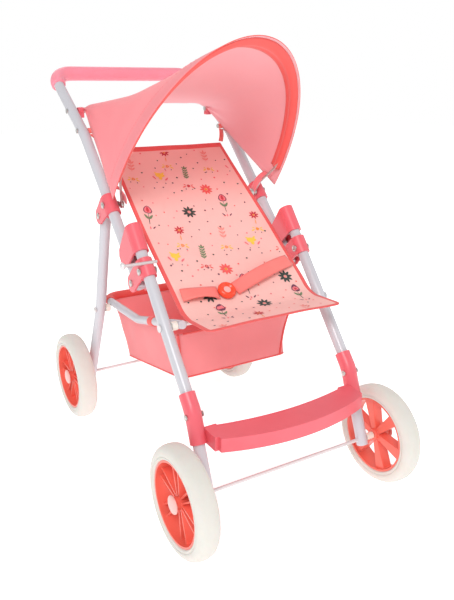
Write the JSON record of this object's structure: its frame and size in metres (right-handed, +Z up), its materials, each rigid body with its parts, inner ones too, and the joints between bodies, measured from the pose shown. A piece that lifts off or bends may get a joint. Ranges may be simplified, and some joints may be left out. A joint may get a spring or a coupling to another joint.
{
  "type": "doll stroller",
  "caption": "Folding toy stroller with a sling seat, hood on a bow, hanging basket, footrest and four foam-tyred wheels on a white tube frame.",
  "frame": {"origin": "on the floor, on the plane of symmetry, midway between the front of the front tyres and the back of the grip", "axes": "+Z up, the front of the stroller faces -Y, +X to the stroller's left side as seen from its seat"},
  "size_m": [0.354, 0.588, 0.6059],
  "materials": {
    "white_paint": "smooth white powder coat",
    "pink_plastic": "satin moulded pink",
    "coral_plastic": "satin moulded coral red",
    "foam_pink": "matt closed-cell foam",
    "cream_foam": "matt cream foam with a fine tread",
    "cream_plastic": "matt cream bushes",
    "cap_pink": "matt pale pink",
    "steel": "zinc plated",
    "hood_cloth": "woven polyester, plain pink",
    "seat_cloth": "woven polyester with a small flower print",
    "basket_cloth": "woven polyester, pink",
    "coral_cloth": "coral webbing and binding",
    "buckle_plastic": "glossy orange red"
  },
  "bodies": {
    "frame": {"front_leg_left": "white_paint", "front_leg_right": "white_paint", "lower_bracket_left": "pink_plastic", "lower_bracket_right": "pink_plastic", "bracket_rivets": "steel", "fold_rivets": "steel", "footrest": "pink_plastic", "footrest_screws": "steel", "front_axle": "steel", "front_spacers": "cream_plastic", "seat_rod": "steel", "front_bushes": "cream_plastic", "seat_base": "seat_cloth", "belt_strap_right": "coral_cloth", "belt_strap_left": "coral_cloth", "belt_buckle": "buckle_plastic", "lock_pin": "steel"},
    "latch_left": {"latch_left": "pink_plastic"},
    "latch_right": {"latch_right": "pink_plastic"},
    "handle": {"handle_tube": "white_paint", "handle_grip": "foam_pink", "connector_left": "pink_plastic", "connector_right": "pink_plastic", "connector_rivets": "steel", "rear_leg_rivets": "steel", "hood_clip_left": "pink_plastic", "hood_clip_right": "pink_plastic", "strap_boss_left": "pink_plastic", "strap_boss_right": "pink_plastic", "handle_screws": "steel", "seat_back": "seat_cloth", "seat_ribbon_left": "coral_cloth", "seat_ribbon_right": "coral_cloth", "hood": "hood_cloth", "hood_tab_left": "hood_cloth", "hood_tab_right": "hood_cloth"},
    "bow": {"hood_bow": "steel"},
    "rear_legs": {"rear_leg_left": "white_paint", "rear_leg_right": "white_paint", "rear_axle": "steel", "rear_spacers": "cream_plastic", "rear_bolts": "steel", "rear_bushes": "cream_plastic"},
    "basket_frame": {"basket_tube": "white_paint", "basket": "basket_cloth"},
    "front_left_wheel": {"front_left_tyre": "cream_foam", "front_left_rim": "coral_plastic", "front_left_cap": "cap_pink"},
    "front_right_wheel": {"front_right_tyre": "cream_foam", "front_right_rim": "coral_plastic", "front_right_cap": "cap_pink"},
    "rear_left_wheel": {"rear_left_tyre": "cream_foam", "rear_left_rim": "coral_plastic", "rear_left_cap": "cap_pink"},
    "rear_right_wheel": {"rear_right_tyre": "cream_foam", "rear_right_rim": "coral_plastic", "rear_right_cap": "cap_pink"}
  },
  "joints": [
    {"name": "fold", "type": "hinge", "parent": "frame", "child": "handle", "pos_m": [0, -0.03372, 0.29395], "axis": [-1, 0, 0], "range_deg": [0, 130]},
    {"name": "rear_leg_fold", "type": "hinge", "parent": "handle", "child": "rear_legs", "pos_m": [0, 0.078, 0.36608], "axis": [1, 0, 0], "range_deg": [0, 88.6]},
    {"name": "basket_fold", "type": "hinge", "parent": "frame", "child": "basket_frame", "pos_m": [0, -0.11359, 0.25457], "axis": [-1, 0, 0], "range_deg": [0, 80.59], "deforming": ["basket"]},
    {"name": "hood_swing", "type": "hinge", "parent": "handle", "child": "bow", "pos_m": [0, 0.04689, 0.38588], "axis": [-1, 0, 0], "range_deg": [0, 60], "deforming": ["hood"]},
    {"name": "latch_left_slide", "type": "slide", "parent": "frame", "child": "latch_left", "axis": [0, 0.632, 0.7749], "range_m": [0, 0.012]},
    {"name": "latch_right_slide", "type": "slide", "parent": "frame", "child": "latch_right", "axis": [0, 0.632, 0.7749], "range_m": [0, 0.012]},
    {"name": "front_left_spin", "type": "hinge", "parent": "frame", "child": "front_left_wheel", "pos_m": [-0.16, -0.22201, 0.072], "axis": [1, 0, 0], "continuous": true},
    {"name": "front_right_spin", "type": "hinge", "parent": "frame", "child": "front_right_wheel", "pos_m": [0.16, -0.22201, 0.072], "axis": [1, 0, 0], "continuous": true},
    {"name": "rear_left_spin", "type": "hinge", "parent": "rear_legs", "child": "rear_left_wheel", "pos_m": [-0.155, 0.18599, 0.072], "axis": [1, 0, 0], "continuous": true},
    {"name": "rear_right_spin", "type": "hinge", "parent": "rear_legs", "child": "rear_right_wheel", "pos_m": [0.155, 0.18599, 0.072], "axis": [1, 0, 0], "continuous": true}
  ],
  "couplings": [
    {"joint": "rear_leg_fold", "follows": "fold", "ratio": 0.68075},
    {"joint": "basket_fold", "follows": "fold", "ratio": 0.61916}
  ]
}
